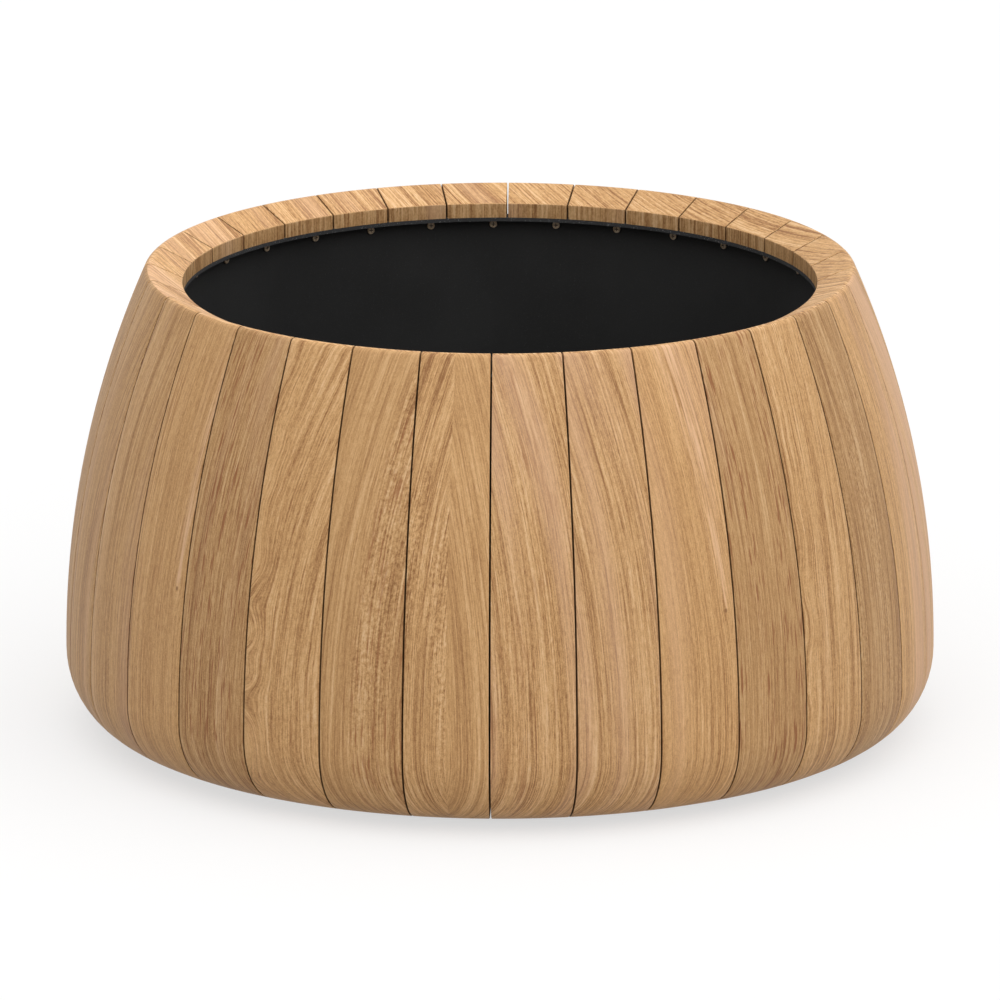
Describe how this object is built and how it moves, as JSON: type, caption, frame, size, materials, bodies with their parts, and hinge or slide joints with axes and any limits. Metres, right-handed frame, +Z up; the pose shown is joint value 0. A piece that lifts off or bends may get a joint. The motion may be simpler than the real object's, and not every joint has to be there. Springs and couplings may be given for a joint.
{
  "type": "teak planter",
  "caption": "Round floor planter of upright curved teak staves with a square-cut rim, hung round a black metal liner on a levelled steel cross frame.",
  "frame": {"origin": "on the floor, under the middle of the planter", "axes": "+Z up, the front seam towards -Y, +X to the right seen from the front"},
  "size_m": [1.1, 1.1, 0.5904],
  "materials": {
    "teak": "sanded, lightly oiled",
    "liner_black": "matt powder coat",
    "frame_black": "matt powder coat",
    "screw_steel": "stainless, dulled",
    "zinc_steel": "zinc plated",
    "black_plastic": "moulded, matt",
    "rubber": "plain strip"
  },
  "bodies": {
    "planter": {"stave_01": "teak", "stave_02": "teak", "stave_03": "teak", "stave_04": "teak", "stave_05": "teak", "stave_06": "teak", "stave_07": "teak", "stave_08": "teak", "stave_09": "teak", "stave_10": "teak", "stave_11": "teak", "stave_12": "teak", "stave_13": "teak", "stave_14": "teak", "stave_15": "teak", "stave_16": "teak", "stave_17": "teak", "stave_18": "teak", "stave_19": "teak", "stave_20": "teak", "stave_21": "teak", "stave_22": "teak", "stave_23": "teak", "stave_24": "teak", "stave_25": "teak", "stave_26": "teak", "stave_27": "teak", "stave_28": "teak", "stave_29": "teak", "stave_30": "teak", "stave_31": "teak", "stave_32": "teak", "liner_wall_back": "liner_black", "liner_wall_front": "liner_black", "liner_flange": "liner_black", "liner_floor": "liner_black", "liner_screws": "screw_steel", "foot_screws": "screw_steel", "base_ring": "frame_black", "cross_beam": "frame_black", "half_beam_front": "frame_black", "half_beam_back": "frame_black", "beam_end_caps": "black_plastic", "frame_bolts": "zinc_steel", "frame_nuts": "zinc_steel", "stud_nuts": "zinc_steel", "rubber_strip_right": "rubber", "rubber_strip_back": "rubber", "rubber_strip_left": "rubber", "rubber_strip_front": "rubber"},
    "foot_right": {"foot_pad_right": "black_plastic", "foot_stud_right": "zinc_steel"},
    "foot_back": {"foot_pad_back": "black_plastic", "foot_stud_back": "zinc_steel"},
    "foot_left": {"foot_pad_left": "black_plastic", "foot_stud_left": "zinc_steel"},
    "foot_front": {"foot_pad_front": "black_plastic", "foot_stud_front": "zinc_steel"}
  },
  "joints": [
    {"name": "foot_right_level", "type": "slide", "parent": "planter", "child": "foot_right", "axis": [0, 0, -1], "range_m": [0, 0.015]},
    {"name": "foot_back_level", "type": "slide", "parent": "planter", "child": "foot_back", "axis": [0, 0, -1], "range_m": [0, 0.015]},
    {"name": "foot_left_level", "type": "slide", "parent": "planter", "child": "foot_left", "axis": [0, 0, -1], "range_m": [0, 0.015]},
    {"name": "foot_front_level", "type": "slide", "parent": "planter", "child": "foot_front", "axis": [0, 0, -1], "range_m": [0, 0.015]}
  ]
}
